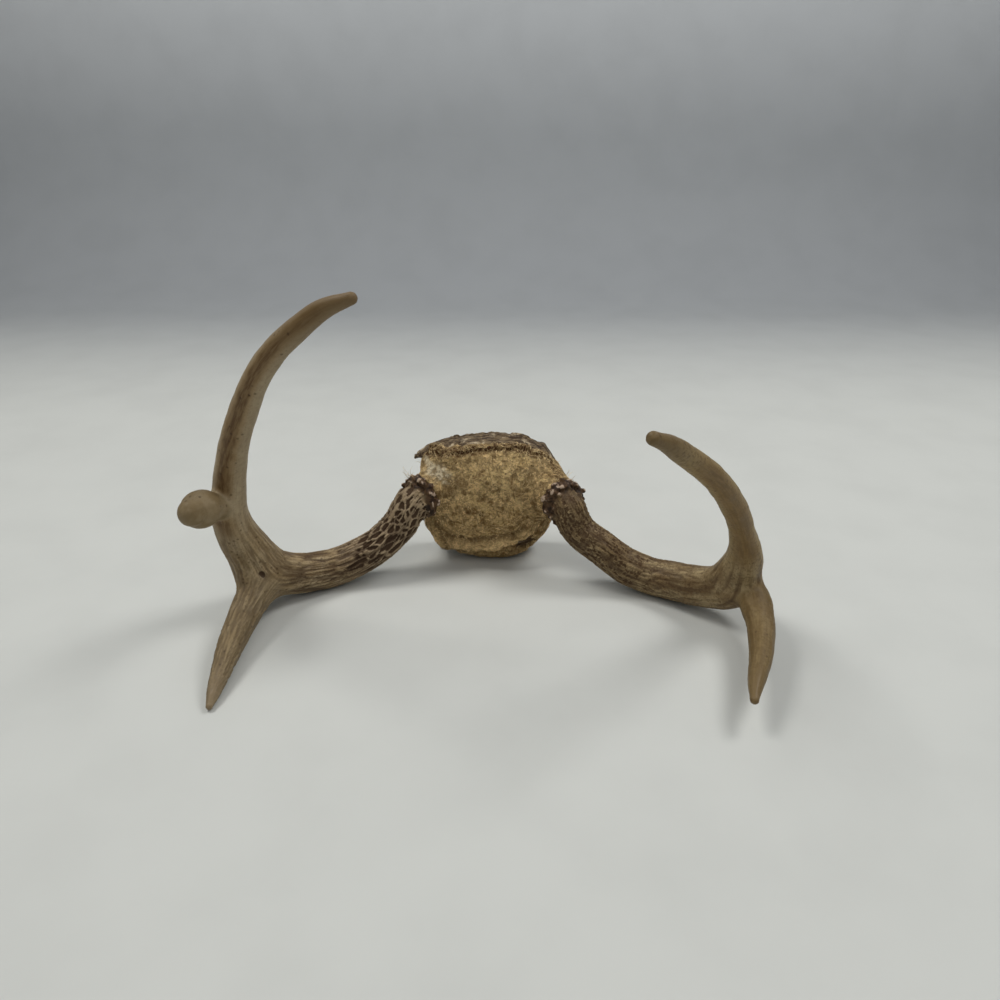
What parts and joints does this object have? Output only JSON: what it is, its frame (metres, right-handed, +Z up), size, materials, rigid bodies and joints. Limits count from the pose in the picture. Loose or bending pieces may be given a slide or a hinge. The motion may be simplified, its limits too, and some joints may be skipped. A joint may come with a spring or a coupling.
{
  "type": "deer rack on a skull cap",
  "caption": "Small white-tailed deer rack: branching antlers grown on a sawn skull cap with dried hide, standing on the cap's hind edge, the beams and a tine tip.",
  "frame": {"origin": "centre of the whole rack's box, at the level of the table it stands on", "axes": "+Z up, +X across the rack from the left antler to the right as seen by someone who faces the forehead, -Y the side that the forehead and the front tines face"},
  "size_m": [0.3027, 0.1808, 0.1912],
  "materials": {
    "antler": "matte",
    "skull_bone": "matte",
    "dried_hide": "matte"
  },
  "bodies": {
    "root": {"skull_cap": "skull_bone", "dried_hide": "dried_hide", "left_beam": "antler", "left_front_tine": "antler", "left_upper_beam": "antler", "right_beam": "antler", "right_front_tine": "antler", "right_upper_beam": "antler"}
  },
  "joints": []
}
